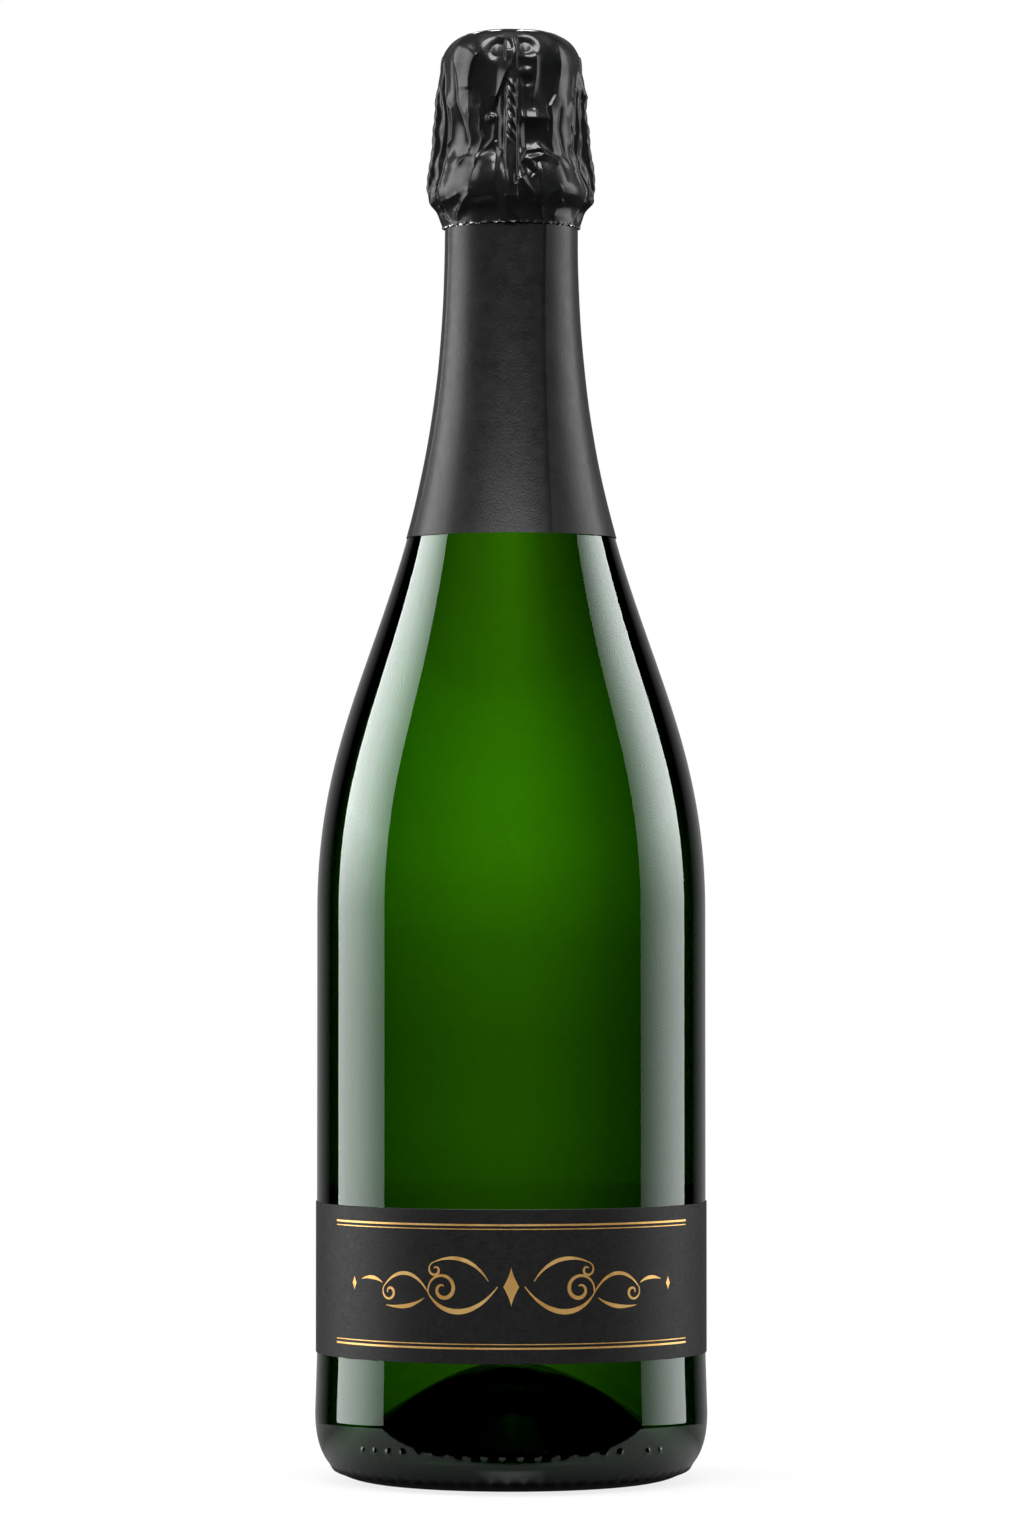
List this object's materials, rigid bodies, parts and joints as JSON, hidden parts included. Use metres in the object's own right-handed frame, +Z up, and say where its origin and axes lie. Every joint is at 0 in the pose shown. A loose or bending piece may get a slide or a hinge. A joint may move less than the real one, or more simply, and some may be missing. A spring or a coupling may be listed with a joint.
{
  "type": "sparkling wine bottle",
  "caption": "Green glass sparkling wine bottle with a punt, a black label band, foil over the neck, and a cork under a wire cage that lift out in turn.",
  "frame": {"origin": "centre of the flat ring that the bottle stands on", "axes": "+Z up along the bottle's axis, -Y towards the viewer of the picture, +X to that viewer's right"},
  "size_m": [0.0878, 0.0878, 0.325],
  "materials": {
    "green_glass": "gloss",
    "wine": "gloss",
    "label_paper": "matte",
    "black_foil": "satin",
    "agglomerated_cork": "matte",
    "natural_cork": "matte",
    "cap_tinplate": "satin",
    "cage_wire": "satin"
  },
  "bodies": {
    "bottle": {"glass_bottle": "green_glass", "wine": "wine", "label_band": "label_paper", "foil_sleeve": "black_foil"},
    "cork": {"cork_body": "agglomerated_cork", "cork_disc_upper": "natural_cork", "cork_disc_lower": "natural_cork"},
    "cage": {"cage_cap": "cap_tinplate", "cage_frame": "cage_wire", "cage_belt": "cage_wire"},
    "loop": {"cage_loop": "cage_wire"},
    "hood": {"foil_hood": "black_foil"}
  },
  "joints": [
    {"name": "cork_pull", "type": "slide", "parent": "bottle", "child": "cork", "axis": [0, 0, 1], "range_m": [0, 0.04]},
    {"name": "cage_lift", "type": "slide", "parent": "cork", "child": "cage", "axis": [0, 0, 1], "range_m": [0, 0.045], "deforming": ["cage_belt"]},
    {"name": "loop_swing", "type": "hinge", "parent": "cage", "child": "loop", "pos_m": [0.0116, 0.0116, 0.2873], "axis": [-0.7071, 0.7071, 0], "range_deg": [0, 110]},
    {"name": "hood_lift", "type": "slide", "parent": "cage", "child": "hood", "axis": [0, 0, 1], "range_m": [0, 0.055], "deforming": ["foil_hood"]}
  ]
}
